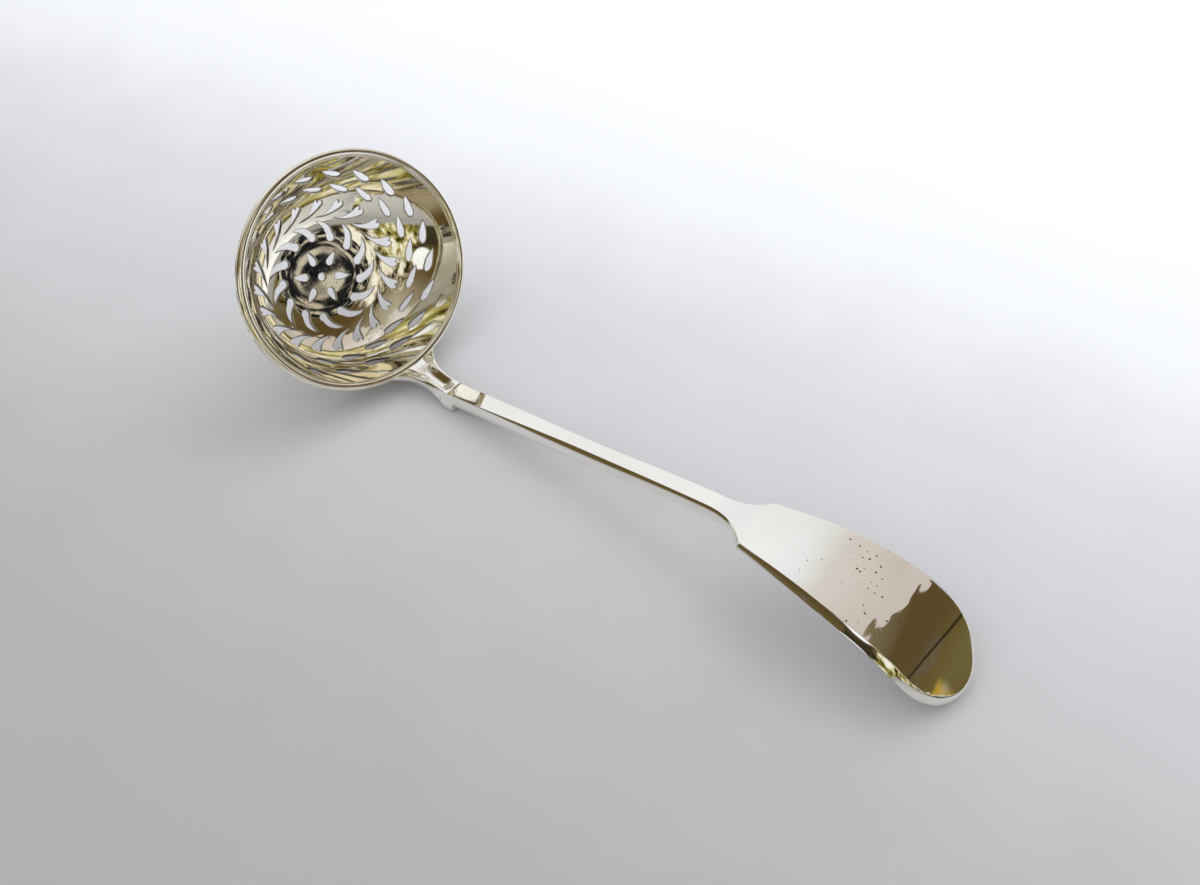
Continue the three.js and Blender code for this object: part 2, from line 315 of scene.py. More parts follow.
def stretch_vector(tree, vector, stretch, turn=0.0):
    node = add_node(tree, "ShaderNodeMapping")
    tree.links.new(vector, node.inputs["Vector"])
    node.inputs["Rotation"].default_value = (0, 0, turn)
    node.inputs["Scale"].default_value = stretch
    return node.outputs[0]


def make_old_polish_group():
    """Years of rubbing: a soft change of tone, fine scratches and a haze."""
    group = new_group(
        "Old polish",
        (
            ("Vector", "NodeSocketVector", None),
            ("Silver", "NodeSocketColor", None),
            ("Tarnish Amount", "NodeSocketFloat", None),
            ("Polish", "NodeSocketFloat", None),
        ),
        (
            ("Color", "NodeSocketColor"),
            ("Roughness", "NodeSocketFloat"),
            ("Height", "NodeSocketFloat"),
        ),
    )
    inside = add_node(group, "NodeGroupInput")
    outside = add_node(group, "NodeGroupOutput")
    vector = inside.outputs["Vector"]
    cloud = noise_node(group, vector, CLOUD_SCALE, 4, 0.55)
    haze = noise_node(group, vector, HAZE_SCALE, 4, 0.6)
    along = noise_node(group, stretch_vector(group, vector, *LONG_SCRATCHES), 1, 2)
    crossing = noise_node(group, stretch_vector(group, vector, *CROSS_SCRATCHES), 1, 2)
    long_marks = map_value(group, along, 0.62, 0.78)
    cross_marks = map_value(group, crossing, 0.66, 0.8)
    scratch = math_node(group, "MAXIMUM", long_marks, cross_marks)
    patches = map_value(group, cloud, 0.42, 0.72)
    tone = multiply(group, patches, inside.outputs["Tarnish Amount"])
    color = mix_colors(group, tone, inside.outputs["Silver"], TARNISH)
    group.links.new(color, outside.inputs["Color"])
    dull = multiply(group, map_value(group, haze, 0.4, 0.75), HAZE_ROUGHNESS)
    dull = math_node(group, "ADD", dull, multiply(group, scratch, SCRATCH_ROUGHNESS))
    rough = math_node(group, "ADD", inside.outputs["Polish"], dull)
    group.links.new(rough, outside.inputs["Roughness"])
    wave = multiply(group, noise_node(group, vector, WAVE_SCALE, 1), WAVE_HEIGHT)
    wave = math_node(group, "SUBTRACT", wave, multiply(group, scratch, SCRATCH_DEPTH))
    group.links.new(wave, outside.inputs["Height"])
    return group


def make_pits_group():
    """Small dark pits scattered over the flat of the handle's end."""
    group = new_group(
        "Pits",
        (
            ("Vector", "NodeSocketVector", None),
            ("Middle", "NodeSocketVector", PIT_MIDDLE),
            ("Spread", "NodeSocketFloat", PIT_SPREAD),
        ),
        (("Mask", "NodeSocketFloat"),),
    )
    inside = add_node(group, "NodeGroupInput")
    outside = add_node(group, "NodeGroupOutput")
    spots = add_node(group, "ShaderNodeTexVoronoi", feature="F1", voronoi_dimensions="2D")
    group.links.new(inside.outputs["Vector"], spots.inputs["Vector"])
    spots.inputs["Scale"].default_value = PIT_SCALE
    spots.inputs["Randomness"].default_value = 1
    chance = add_node(group, "ShaderNodeSeparateColor")
    group.links.new(spots.outputs["Color"], chance.inputs[0])
    away = add_node(group, "ShaderNodeVectorMath", operation="DISTANCE")
    group.links.new(inside.outputs["Vector"], away.inputs[0])
    group.links.new(inside.outputs["Middle"], away.inputs[1])
    share = math_node(group, "DIVIDE", away.outputs["Value"], inside.outputs["Spread"])
    near = math_node(group, "SUBTRACT", 1.0, share)
    size = multiply(group, chance.outputs[1], PIT_SIZE)
    dot = math_node(group, "LESS_THAN", spots.outputs["Distance"], size)
    chosen = math_node(group, "LESS_THAN", chance.outputs[0], multiply(group, near, PIT_CHANCE))
    group.links.new(multiply(group, dot, chosen), outside.inputs["Mask"])
    return group


old_polish = make_old_polish_group()
end_pits = make_pits_group()


def make_silver(name, silver, tarnish, polish, bump, cut_edges=False, pits=False):
    material = bpy.data.materials.new(name)
    material.use_nodes = True
    tree = material.node_tree
    shader = tree.nodes["Principled BSDF"]
    shader.inputs["Metallic"].default_value = 1.0
    place = add_node(tree, "ShaderNodeTexCoord").outputs["Object"]
    wear = add_node(tree, "ShaderNodeGroup", node_tree=old_polish)
    tree.links.new(place, wear.inputs["Vector"])
    wear.inputs["Silver"].default_value = silver
    wear.inputs["Tarnish Amount"].default_value = tarnish
    wear.inputs["Polish"].default_value = polish
    color = wear.outputs["Color"]
    rough = wear.outputs["Roughness"]
    # Painted shade: the edges of the saw cuts and the walls of the holes are mixed towards a dark
    # colour.
    if cut_edges:
        cut = add_node(tree, "ShaderNodeAttribute", attribute_name="saw_cut_shade").outputs["Fac"]
        cut = multiply(tree, cut, SAW_CUT_SHADE_DARKNESS)
        color = mix_colors(tree, cut, color, SAW_CUT_SHADE_COLOR)
        rough = math_node(tree, "ADD", rough, multiply(tree, cut, SAW_CUT_ROUGHNESS))
    if pits:
        spots = add_node(tree, "ShaderNodeGroup", node_tree=end_pits)
        tree.links.new(place, spots.inputs["Vector"])
        mask = spots.outputs["Mask"]
        color = mix_colors(tree, mask, color, PIT_COLOR)
        rough = math_node(tree, "ADD", rough, multiply(tree, mask, PIT_ROUGHNESS))
    tree.links.new(color, shader.inputs["Base Color"])
    tree.links.new(rough, shader.inputs["Roughness"])
    relief = add_node(tree, "ShaderNodeBump")
    relief.inputs["Strength"].default_value = bump
    relief.inputs["Distance"].default_value = RELIEF_HEIGHT
    tree.links.new(wear.outputs["Height"], relief.inputs["Height"])
    tree.links.new(relief.outputs["Normal"], shader.inputs["Normal"])
    return material


bowl_silver = make_silver("bowl_silver", WARM_SILVER, 0.4, 0.03, 0.4, cut_edges=True)
rim_silver = make_silver("rim_silver", WARM_SILVER, 0.4, 0.05, 0.3)
handle_silver = make_silver("handle_silver", WHITE_SILVER, 0.12, 0.025, 0.3, pits=True)


# The pierced pattern, drawn flat on the plan of the bowl


def polar(radius, angle):
    return Vector((radius * math.cos(angle), radius * math.sin(angle)))


def on_plan(spot):
    """A place of the plan from a radius and degrees."""
    radius, degrees = spot
    return polar(radius, math.radians(degrees))


def bend_to(outline, control, end, steps):
    """Adds the points of one curved saw cut from the last point of the outline."""
    start = outline[-1]
    for step in range(1, steps + 1):
        share = step / steps
        outline.append((1 - share) ** 2 * start + 2 * share * (1 - share) * control + share ** 2 * end)


def arc_points(middle, radius, first, last, steps):
    return [middle + polar(radius, first + (last - first) * i / steps) for i in range(steps + 1)]


def eye_hole():
    steps = EYE_CORNERS - 1
    return arc_points(Vector((0, 0)), EYE_RADIUS, 0, math.tau * steps / EYE_CORNERS, steps)


def petal_hole():
    head = Vector((PETAL_HEAD, 0))
    run, half = PETAL_BELLY
    outline = arc_points(head, PETAL_HEAD_RADIUS, math.pi * 0.5, math.pi * 1.5, 10)
    bend_to(outline, Vector((run, -half)), Vector((PETAL_TIP, 0)), 6)
    bend_to(outline, Vector((run, half)), outline[0], 6)
    return outline[:-1]


def comma_hole():
    head = polar(COMMA_HEAD, 0)
    outline = arc_points(head, COMMA_HEAD_RADIUS, math.pi * 0.62, math.pi * 1.9, 12)
    bend_to(outline, on_plan(COMMA_BACK), on_plan(COMMA_TIP), 8)
    bend_to(outline, on_plan(COMMA_BELLY), outline[0], 8)
    return outline[:-1]


def frond_hole():
    outline = [on_plan(FROND_TAIL)]
    for (control, end), steps in ((FROND_BACK, 10), (FROND_HOOK, 6), (FROND_HEAD, 6)):
        bend_to(outline, on_plan(control), on_plan(end), steps)
    bend_to(outline, on_plan(FROND_BELLY), outline[0], 10)
    return outline[:-1]


def leaf_hole(radius):
    middle = polar(radius, 0)
    forward = polar(LEAF_HALF_LENGTH, LEAF_LEAN)
    side = polar(LEAF_HALF_WIDTH, LEAF_LEAN + math.pi / 2)
    outline = [middle - forward]
    bend_to(outline, middle - 0.95 * forward - 0.9 * side, middle - 0.3 * forward - 0.85 * side, 5)
    bend_to(outline, middle + 0.35 * forward - 0.75 * side, middle + forward, 7)
    bend_to(outline, middle + 0.35 * forward + 0.75 * side, middle - 0.3 * forward + 0.85 * side, 7)
    bend_to(outline, middle - 0.95 * forward + 0.9 * side, middle - forward, 5)
    return outline[:-1]


def turned(outline, angle):
    cosine = math.cos(angle)
    sine = math.sin(angle)
    return [Vector((p.x * cosine - p.y * sine, p.x * sine + p.y * cosine)) for p in outline]


def signed_area(outline):
    total = 0.0
    for here, there in zip(outline, outline[1:] + outline[:1]):
        total += here.x * there.y - there.x * here.y
    return total / 2


def grown(outline, margin):
    """The outline moved outwards by a margin, for the softened edge of a saw cut."""
    count = len(outline)
    result = []
    for index, here in enumerate(outline):
        before = (here - outline[index - 1]).normalized()
        after = (outline[(index + 1) % count] - here).normalized()
        side = Vector((before.y + after.y, -before.x - after.x))
        side.normalize()
        lean = max(0.45, side.dot(Vector((after.y, -after.x))))
        result.append(here + side * margin / lean)
    return result


def sawn_pattern():
    """All the holes, each a little uneven as sawn by hand."""
    hand = random.Random(SAW_SEED)

    def shake():
        return hand.uniform(-SAW_SHAKE, SAW_SHAKE)

    rings = [
        (eye_hole(), 1, 0.0),
        (petal_hole(), PETAL_COUNT, 0.0),
        (comma_hole(), COMMA_COUNT, COMMA_FIRST),
        (frond_hole(), FROND_COUNT, FROND_FIRST),
    ]
    for radius, first in zip(LEAF_RINGS, LEAF_FIRSTS):
        rings.append((leaf_hole(radius), LEAF_COUNT, first))
    holes = []
    for outline, count, first in rings:
        for index in range(count):
            slip = hand.uniform(-SAW_SLIP, SAW_SLIP) if count > 1 else 0.0
            hole = turned(outline, math.radians(first + slip + index * 360 / count))
            hole = [p + Vector((shake(), shake())) for p in hole]
            if signed_area(hole) < 0:
                hole.reverse()
            holes.append(hole)
    return holes


# The bowl: a round sheet is pierced flat, then dished and tilted


def dish_point(plan, out):
    """A place on the dished sheet over a place of the plan, and the way its face looks."""
    radius = plan.length
    share = radius / BOWL_RADIUS
    height = -BOWL_DEPTH * (1 - share ** BOWL_FULLNESS)
    slope = BOWL_DEPTH * BOWL_FULLNESS * share ** (BOWL_FULLNESS - 1) / BOWL_RADIUS
    length = math.sqrt(1 + slope * slope)
    reach = radius + out * slope / length
    height -= out / length
    heading = plan / radius if radius > 1e-6 else Vector((1, 0))
    place = in_spoon(reach * heading.x * BOWL_OVAL, reach * heading.y, height)
    facing = direction_in_spoon(-slope * heading.x / BOWL_OVAL, -slope * heading.y, 1.0)
    return place, facing.normalized()


def sheet_points():
    """Points spread over the plan in rings, for an even dish."""
    points = []
    for ring in range(1, SHEET_RINGS):
        radius = SHEET_LIP * ring / SHEET_RINGS
        count = max(8, int(math.tau * radius / SHEET_SPACING))
        for index in range(count):
            points.append(polar(radius, math.tau * (index + 0.5 * (ring % 2)) / count))
    return points


def close_to_hole(point, middles, holes):
    """Whether a point of the sheet is too near a saw cut to be kept."""
    for middle, hole in zip(middles, holes):
        if (point - middle).length >= HOLE_REACH:
            continue
        if min((point - p).length for p in hole) < HOLE_CLEARANCE:
            return True
    return False


def cut_sheet(holes):
    """The pierced sheet as flat triangles, and for each point whether it lies on a saw cut."""
    points = []
    edges = []
    loops = []
    lip = [polar(SHEET_LIP, math.tau * i / LIP_CORNERS) for i in range(LIP_CORNERS)]
    for outline in [lip] + holes + [grown(hole, EDGE_WIDTH) for hole in holes]:
        first = len(points)
        points += outline
        loop = list(range(first, first + len(outline)))
        edges += list(zip(loop, loop[1:] + loop[:1]))
        loops.append(loop)
    middles = [sum(hole, Vector((0, 0))) / len(hole) for hole in holes]
    points += [point for point in sheet_points() if not close_to_hole(point, middles, holes)]
    hole_loops = loops[1:1 + len(holes)]
    result = delaunay_2d_cdt(points, edges, hole_loops, 0, 1e-6)
    flat, triangles, came_from, parts = result[0], result[2], result[3], result[5]
    kept = [tuple(t) for t, part in zip(triangles, parts) if not part]
    cut_points = {index for loop in hole_loops for index in loop}
    on_cut = [any(source in cut_points for source in sources) for sources in came_from]
    return flat, kept, on_cut


def make_bowl():
    """The dished sheet: an inner and an outer face, and the walls of its saw cuts and lip."""
    flat, triangles, on_cut = cut_sheet(sawn_pattern())
    used = sorted({index for triangle in triangles for index in triangle})
    order = {index: place for place, index in enumerate(used)}
    count = len(used)
    faces = []
    border = {}
    for a, b, c in triangles:
        a, b, c = order[a], order[b], order[c]
        faces.append((a, b, c))
        faces.append((a + count, c + count, b + count))
        for edge in ((a, b), (b, c), (c, a)):
            if (edge[1], edge[0]) in border:
                del border[(edge[1], edge[0])]
            else:
                border[edge] = True
    wall_start = len(faces)
    to_hole = [Vector((0, 0)) for index in used]
    for a, b in border:
        faces.append((b, a, a + count, b + count))
        along = flat[used[b]] - flat[used[a]]
        side = Vector((along.y, -along.x)).normalized()
        to_hole[a] += side
        to_hole[b] += side
    points = []
    facing = []
    # Painted shade: each point on a saw cut gets 1, which darkens the edges and walls of the holes in
    # the material.
    painted_cut_shade = []
    for layer in (0, 1):
        for index in used:
            drop = EDGE_DROP if on_cut[index] else 0.0
            out = BOWL_SHEET - drop if layer else drop
            place, look = dish_point(flat[index], out)
            look = -look if layer else look
            if on_cut[index]:
                ahead = flat[index] + 0.05 * to_hole[order[index]].normalized()
                outward = (dish_point(ahead, out)[0] - place).normalized()
                look = (look + EDGE_ROUNDING * outward).normalized()
            points.append(place)
            facing.append(look)
            painted_cut_shade.append(1.0 if on_cut[index] else 0.0)
    bowl = make_piece("pierced_bowl", points, faces, bowl_silver)
    mesh = bowl.data
    mask = mesh.attributes.new("saw_cut_shade", "FLOAT", "POINT")
    mask.data.foreach_set("value", painted_cut_shade)
    normals = []
    for polygon in mesh.polygons:
        for corner in polygon.loop_indices:
            vertex = mesh.loops[corner].vertex_index
            wall = polygon.index >= wall_start
            normals.append(polygon.normal.copy() if wall else facing[vertex])
    mesh.normals_split_custom_set([tuple(n) for n in normals])
    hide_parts("bowl")


make_bowl()


# The rim: a drawn wire bent round the lip, with a fine bead on its inner side


def make_ring(name, radius, rise, half_width, half_height, sides):
    bpy.ops.object.select_all(action="DESELECT")
    bpy.ops.mesh.primitive_torus_add(
        major_radius=radius * MM,
        minor_radius=half_width * MM,
        major_segments=RIM_CORNERS,
        minor_segments=sides,
    )
    ring = bpy.context.object
    ring.name = name
    ring.data.name = name
    bpy.ops.object.mode_set(mode="EDIT")
    bpy.ops.mesh.select_all(action="SELECT")
    bpy.ops.transform.resize(value=(BOWL_OVAL, 1, half_height / half_width))
    bpy.ops.transform.rotate(
        value=-BOWL_TILT, orient_axis="Y", orient_type="GLOBAL", center_override=(0, 0, 0)
    )
    bpy.ops.transform.translate(value=tuple(in_spoon(0, 0, rise) * MM))
    bpy.ops.object.mode_set(mode="OBJECT")
    return dress_piece(ring, rim_silver)


rim_wire = make_ring("rim_wire_round", RIM_RADIUS, RIM_RISE, RIM_HALF_WIDTH, RIM_HALF_HEIGHT, 24)
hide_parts("rim_wire")
make_ring("rim_bead", RIM_RADIUS - BEAD_INSET, RIM_RISE + BEAD_RISE, BEAD_RADIUS, BEAD_RADIUS, 14)


# The handle: a grid of sections along a curved centre line


def handle_line():
    root = in_spoon(BOWL_RADIUS * BOWL_OVAL, 0, RIM_RISE)
    heights = (root.z, *HANDLE_HEIGHTS)
    return [Vector((root.x + run, 0, height)) for run, height in zip(HANDLE_RUNS, heights)]


HANDLE_LINE = handle_line()


def line_chord(index):
    return HANDLE_LINE[index + 1] - HANDLE_LINE[index]


def line_turn(index):
    """The way the centre line runs through one of its points, for a chord of length one."""
    last = len(HANDLE_LINE) - 1
    if index == 0:
        return line_chord(0).normalized()
    if index == last:
        return line_chord(last - 1).normalized()
    before = line_chord(index - 1)
    after = line_chord(index)
    turn = before / before.length * after.length + after / after.length * before.length
    return turn.normalized()


def handle_place(place):
    """A place on the smooth centre line; the stem leaves the neck at a slight corner."""
    index = min(int(place), len(HANDLE_LINE) - 2)
    share = place - index
    chord = line_chord(index)
    leave = line_turn(index) * chord.length
    reach = line_turn(index + 1) * chord.length
    if index == NECK_POINT:
        leave = Vector((math.cos(STEM_RISE), 0, math.sin(STEM_RISE))) * chord.length
    square = share * share
    cube = square * share
    start = (2 * cube - 3 * square + 1) * HANDLE_LINE[index] + (cube - 2 * square + share) * leave
    return start + (3 * square - 2 * cube) * HANDLE_LINE[index + 1] + (cube - square) * reach


def mix(first, last, share):
    return first + (last - first) * share


def ease(share):
    share = min(1.0, max(0.0, share))
    return share * share * (3 - 2 * share)


def handle_half_width(place):
    """Half the width of the handle's top outline at a place on its line."""
    if place < NECK_END:
        left = 1 - min(1.0, place / NECK_FADE)
        wings = (WING_SPAN - NECK_WIDTH) * left ** 4
        return (mix(NECK_WIDTH, STEM_WIDTHS[0], ease(place)) + wings) / 2
    if place < FLARE_START:
        return mix(*STEM_WIDTHS, (place - NECK_END) / (FLARE_START - NECK_END)) / 2
    if place < SHOULDER:
        share = (place - FLARE_START) / (SHOULDER - FLARE_START)
        return mix(STEM_WIDTHS[1], SHOULDER_WIDTH, share ** 3) / 2
    share = min(1.0, (place - SHOULDER) / (ROUND_START - SHOULDER))
    width = mix(SHOULDER_WIDTH, END_WIDTH, math.sin(share * math.pi / 2))
    if place > ROUND_START:
        reach = min(1.0, (place - ROUND_START) / (TIP - ROUND_START)) * 0.999
        width *= (1 - reach ** END_ROUNDNESS) ** 0.5
    return width / 2


def foot_share(place):
    """How far the foot of the neck has grown at a place."""
    return ease((place - FOOT_START) / FOOT_LENGTH)


def stem_share(place):
    """How much of the stem's own section a place has, from the neck to the shoulder."""
    flare = ease((place - FLARE_START) / (SHOULDER - FLARE_START))
    return foot_share(place) * (1 - flare)


def along_stem(place):
    return min(1.0, max(0.0, (place - NECK_END) / (FLARE_START - NECK_END)))


def handle_rise(place):
    """Height of the top over the centre line."""
    stem = mix(*STEM_TOPS, along_stem(place))
    if place <= NECK_END:
        wing = mix(ROOT_RISE, WING_THICKNESS / 2, ease(place / WING_FADE))
        return mix(wing, stem, ease(place / NECK_FADE))
    if place < SHOULDER:
        return mix(SHOULDER_THICKNESS / 2, stem, stem_share(place))
    share = ease((place - SHOULDER) / (ROUND_START - SHOULDER))
    return mix(SHOULDER_THICKNESS, END_THICKNESS, share) / 2


def handle_depth(place):
    """Depth of the underside below the centre line."""
    if place <= NECK_END:
        return mix(WING_THICKNESS, NECK_THICKNESS, ease(place / NECK_FADE)) / 2
    if place < SHOULDER:
        stem = mix(*STEM_BOTTOMS, along_stem(place))
        return mix(SHOULDER_THICKNESS / 2, stem, stem_share(place))
    return handle_rise(place)


def steep_breadth(place):
    """Breadth of the steep lower part of the stem's flank."""
    return mix(*STEEP_BREADTHS, along_stem(place))


def flank_size(place):
    """Breadth and drop of the stem's flank with its bevel, which is widest halfway."""
    along = along_stem(place)
    first, widest, last = FLANK_BREADTHS
    breadth = mix(first, widest, ease(along / FLANK_WIDEST))
    if along > FLANK_WIDEST:
        breadth = mix(widest, last, ease((along - FLANK_WIDEST) / (1 - FLANK_WIDEST)))
    steep = steep_breadth(place)
    return breadth, FLANK_STEEPNESS * steep + FLANK_BEVEL * (breadth - steep)


def bevel_size(place):
    """Breadth and drop of the sloping border between the flat top and the side."""
    stem = stem_share(place)
    flank = flank_size(place)
    if place < NECK_END:
        plain = mix(*NECK_EDGE, place)
        return tuple(mix(plain, size, stem) for size in flank)
    if place < SHOULDER:
        return tuple(mix(plain, size, stem) for plain, size in zip(SHOULDER_BEVEL, flank))
    share = ease((place - SHOULDER) / END_BEVEL_FADE)
    return tuple(mix(first, last, share) for first, last in zip(SHOULDER_BEVEL, END_BEVEL))


def bevel_drop(share, crisp=BEVEL_CRISP):
    """Drop of the border at a share of its breadth in from the side, as a part of the whole drop."""
    left = 1 - min(1.0, max(0.0, share))
    return crisp * left + (1 - crisp) * left ** BEVEL_CURVE


def flank_drop(share, place):
    """The same for the stem: a steep flank, a bevel above it, and a soft edge to the top."""
    breadth, drop = flank_size(place)
    corner = steep_breadth(place) / breadth
    corner_drop = 1 - FLANK_STEEPNESS * steep_breadth(place) / drop
    if share < corner:
        return mix(1.0, corner_drop, share / corner)
    left = (1.0 - share) / (1.0 - corner)
    if left > FLANK_SOFTNESS:
        return corner_drop * left
    return corner_drop * max(0.0, left + FLANK_SOFTNESS) ** 2 / (4 * FLANK_SOFTNESS)


def hollow_depth(place):
    """The scoop between the wings of the neck."""
    closed = ease((place - HOLLOW_CLOSES) / HOLLOW_CLOSING)
    return HOLLOW_DEPTH * ease(place / HOLLOW_OPENING) * (1 - closed)


def spur_reach(place):
    """How far the foot of the neck stands out at each side before it steps back to the stem."""
    if place > NECK_END:
        return 0.0
    return SPUR_REACH * foot_share(place) ** 1.5


def end_outline():
    """The outline of the flat end: place on the line, run along it, and half width."""
    straight = 80
    bent = 160
    places = [mix(SHOULDER, ROUND_START, step / straight) for step in range(straight)]
    places += [mix(ROUND_START, TIP, (step / bent) ** 0.6) for step in range(bent + 1)]
    outline = []
    run = 0.0
    before = handle_place(SHOULDER)
    for place in places:
        here = handle_place(place)
        run += (here - before).length
        before = here
        outline.append((place, run, handle_half_width(place)))
    return outline


END_OUTLINE = end_outline()


def run_at(place):
    for first, last in zip(END_OUTLINE, END_OUTLINE[1:]):
        if place <= last[0]:
            share = (place - first[0]) / max(1e-9, last[0] - first[0])
            return mix(first[1], last[1], share)
    return END_OUTLINE[-1][1]


def distance_to_end_edge(place, across):
    """How far a place on the flat end is from its outline, looking no more than 6 mm along it."""
    run = run_at(place)
    nearest = math.inf
    for first, last in zip(END_OUTLINE, END_OUTLINE[1:]):
        if abs(first[1] - run) > 6:
            continue
        start = Vector((first[1] - run, first[2] - across))
        side = Vector((last[1] - first[1], last[2] - first[2]))
        share = min(1.0, max(0.0, -start.dot(side) / max(1e-9, side.length_squared)))
        nearest = min(nearest, (start + side * share).length)
    tip = END_OUTLINE[-1][1] - run
    return min(nearest, max(0.0, tip))


def half_section(place):
    """Half the section, from the middle of the underside round to the middle of the top."""
    half = handle_half_width(place)
    up = handle_rise(place)
    down = handle_depth(place)
    breadth, drop = bevel_size(place)
    breadth = min(breadth, half * 0.85)
    drop = min(drop, up * 1.3)
    spur = spur_reach(place)
    foot = half + spur
    spur_limit = mix(9, SPUR_ROUNDING, ease(spur / SPUR_REACH))
    rounding = min(0.7 * (up + down - drop), foot * 0.8, spur_limit)
    round_top = -down + rounding
    outline = []
    for step in range(UNDER_ROWS):
        outline.append((mix(0, foot - rounding, step / (UNDER_ROWS - 1)), -down))
    for step in range(1, ROUND_ROWS + 1):
        angle = step / ROUND_ROWS * math.pi / 2
        across = foot - rounding + rounding * math.sin(angle)
        outline.append((across, round_top - rounding * math.cos(angle)))
    below_side = len(outline)
    for step in range(1, SIDE_ROWS + 1):
        share = step / SIDE_ROWS
        outline.append((mix(foot, half, share), mix(round_top, up - drop, share)))
    above_side = len(outline)
    for share in BEVEL_ROWS:
        part = mix(bevel_drop(share), flank_drop(share, place), stem_share(place))
        outline.append((half - breadth * share, up - drop * part))
    flat = half - breadth * BEVEL_ROWS[-1]
    hollow = hollow_depth(place)
    for step in range(1, TOP_ROWS + 1):
        across = flat * (1 - step / TOP_ROWS)
        dip = hollow * (1 - (across / max(0.05, flat)) ** 2) ** 2
        outline.append((across, up - dip))
    if place <= SHOULDER:
        return outline
    crisp = mix(BEVEL_CRISP, END_CRISP, ease((place - SHOULDER) / 0.8))
    crisp = mix(crisp, TIP_CRISP, ease((place - TIP_FADE_START) / 0.6))
    crown = END_CROWN * ease((place - SHOULDER) / 1.5)
    side_top = max(round_top, up - drop - crown * (half / (END_WIDTH / 2)) ** 2)
    rounded = outline[:below_side]
    for step in range(1, SIDE_ROWS + 1):
        rounded.append((half, mix(round_top, side_top, step / SIDE_ROWS)))
    border = bevel_size(place)[0]
    for across, _ in outline[above_side:]:
        share = distance_to_end_edge(place, across) / border
        fall = drop * bevel_drop(share, crisp) + crown * (across / (END_WIDTH / 2)) ** 2
        rounded.append((across, max(up - fall, round_top)))
    return rounded


def stretch_of_places(first, last, count):
    return [mix(first, last, step / count) for step in range(1, count + 1)]


def handle_stations():
    """The places that get a section, closest at the step of the neck and at the tip."""
    places = [NECK_END * step / NECK_STATIONS for step in range(NECK_STATIONS)]
    places += [NECK_END + step for step in NECK_STEP]
    stem_start = NECK_END + 0.02
    places += [stem_start] + stretch_of_places(stem_start, FLARE_START, STEM_STATIONS)
    places += stretch_of_places(FLARE_START, SHOULDER, FLARE_STATIONS)
    places += stretch_of_places(SHOULDER, ROUND_START, END_STATIONS)
    for step in range(1, TIP_STATIONS + 1):
        places.append(mix(ROUND_START, TIP, math.sin(step / TIP_STATIONS * math.pi / 2)))
    return places


def handle_point(place, across, up):
    """A place of a section, set on the centre line and drawn back along the rim at the wings."""
    step = 0.004
    middle = handle_place(place)
    ahead = handle_place(min(TIP, place + step)) - handle_place(max(0.0, place - step))
    ahead.normalize()
    upward = Vector((-ahead.z, 0, ahead.x))
    sag = BOWL_RADIUS * BOWL_OVAL * (1 - math.sqrt(max(0.0, 1 - (across / BOWL_RADIUS) ** 2)))
    lean = STEM_LEAN * ease((place - 0.97) / 0.1) * (1 - ease((place - 1.25) / 0.35))
    up -= lean * across * min(1.0, max(0.0, up / 0.8))
    point = middle + upward * up + ACROSS * across
    point -= TO_HANDLE * sag * (1 - ease(place / NECK_FADE))
    point.z = max(0.0, point.z)
    return point


def make_handle():
    stations = handle_stations()
    sections = [half_section(place) for place in stations]
    half_count = len(sections[0])
    around = 2 * (half_count - 1)
    columns = len(stations)
    bpy.ops.object.select_all(action="DESELECT")
    bpy.ops.mesh.primitive_grid_add(x_subdivisions=columns - 1, y_subdivisions=around, size=2)
    handle = bpy.context.object
    handle.name = "handle_forged"
    handle.data.name = "handle_forged"
    for vertex in handle.data.vertices:
        column = round((vertex.co.x + 1) / 2 * (columns - 1))
        row = round((vertex.co.y + 1) / 2 * around) % around
        side = 1 if row < half_count else -1
        across, up = sections[column][row if side > 0 else around - row]
        vertex.co = handle_point(stations[column], side * across, up) * MM
    bpy.ops.object.mode_set(mode="EDIT")
    bpy.ops.mesh.select_all(action="SELECT")
    bpy.ops.mesh.remove_doubles(threshold=1e-7)
    bpy.ops.mesh.select_all(action="DESELECT")
    bpy.ops.mesh.select_non_manifold(extend=False, use_wire=False, use_multi_face=False, use_verts=False)
    bpy.ops.mesh.fill_holes(sides=0)
    bpy.ops.mesh.select_all(action="SELECT")
    bpy.ops.mesh.normals_make_consistent(inside=False)
    bpy.ops.object.mode_set(mode="OBJECT")
    dress_piece(handle, handle_silver)
    bpy.ops.object.shade_smooth_by_angle(angle=math.radians(32))
    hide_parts("handle")


make_handle()


# The stage: pale paper whose colour holds painted light, darker at the front and right and paler at the
# back, soft light, and a dim room with a bright window for the silver to mirror.
# A ramp is a row of stops. A thing of the room stands between two upright edges: degrees from
# and to, counter-clockwise, and the softness of each edge. Lengths are in metres.
PAPER_SIZE = 3.0
